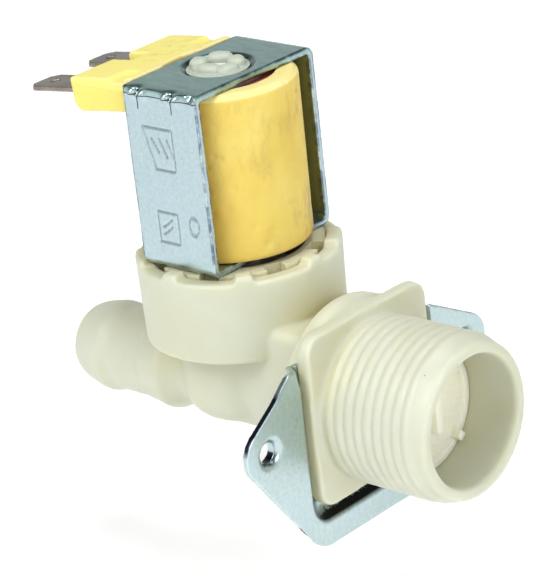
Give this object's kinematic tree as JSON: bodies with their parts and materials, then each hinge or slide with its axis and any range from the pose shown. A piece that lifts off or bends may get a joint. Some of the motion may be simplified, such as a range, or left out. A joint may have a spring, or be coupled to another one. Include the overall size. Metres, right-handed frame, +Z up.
{
  "type": "solenoid valve",
  "caption": "Water inlet solenoid valve: threaded inlet with strainer, servo diaphragm, coil in a steel yoke, hose tail and mounting bracket.",
  "frame": {"origin": "on the inlet axis at the bracket's front face, midway between its two screw holes", "axes": "+X out of the inlet mouth, +Z up along the solenoid, +Y across"},
  "size_m": [0.0794, 0.0569, 0.0711],
  "materials": {
    "natural_nylon": "translucent natural polyamide, satin",
    "white_nylon": "satin natural polyamide",
    "zinc_sheet": "bright zinc plate, blue passivated",
    "coil_yellow": "moulded polyester, scuffed",
    "bobbin_red": "moulded",
    "copper_wire": "enamelled copper",
    "terminal_metal": "dull tin over brass",
    "core_steel": "turned magnetic steel",
    "spring_steel": "drawn stainless wire",
    "black_rubber": "moulded"
  },
  "bodies": {
    "valve": {"valve_body": "natural_nylon", "mounting_bracket": "zinc_sheet", "regulator_housing": "white_nylon", "regulator_washer": "black_rubber", "diaphragm_membrane": "black_rubber", "bonnet": "white_nylon", "clamp_ring": "natural_nylon", "plunger_spring": "spring_steel", "yoke": "zinc_sheet", "upper_flux_sleeve": "core_steel", "lower_flux_sleeve": "core_steel", "coil_bobbin": "bobbin_red", "coil_winding": "copper_wire", "winding_leads": "copper_wire", "coil_casing": "coil_yellow", "terminal_near": "terminal_metal", "terminal_far": "terminal_metal", "retaining_cap": "white_nylon"},
    "plunger": {"plunger": "core_steel", "plunger_seal": "black_rubber"},
    "diaphragm": {"diaphragm_insert": "white_nylon"},
    "strainer": {"inlet_strainer": "white_nylon"}
  },
  "joints": [
    {"name": "plunger_slide", "type": "slide", "parent": "valve", "child": "plunger", "axis": [0, 0, 1], "range_m": [0, 0.0026], "stiffness_N_per_m": 45, "springref_m": -0.008, "deforming": ["plunger_spring"]},
    {"name": "diaphragm_lift", "type": "slide", "parent": "valve", "child": "diaphragm", "axis": [0, 0, 1], "range_m": [0, 0.0016], "deforming": ["diaphragm_membrane"]},
    {"name": "strainer_pull", "type": "slide", "parent": "valve", "child": "strainer", "axis": [1, 0, 0], "range_m": [0, 0.016]}
  ],
  "couplings": [
    {"joint": "diaphragm_lift", "follows": "plunger_slide", "ratio": 0.6}
  ]
}
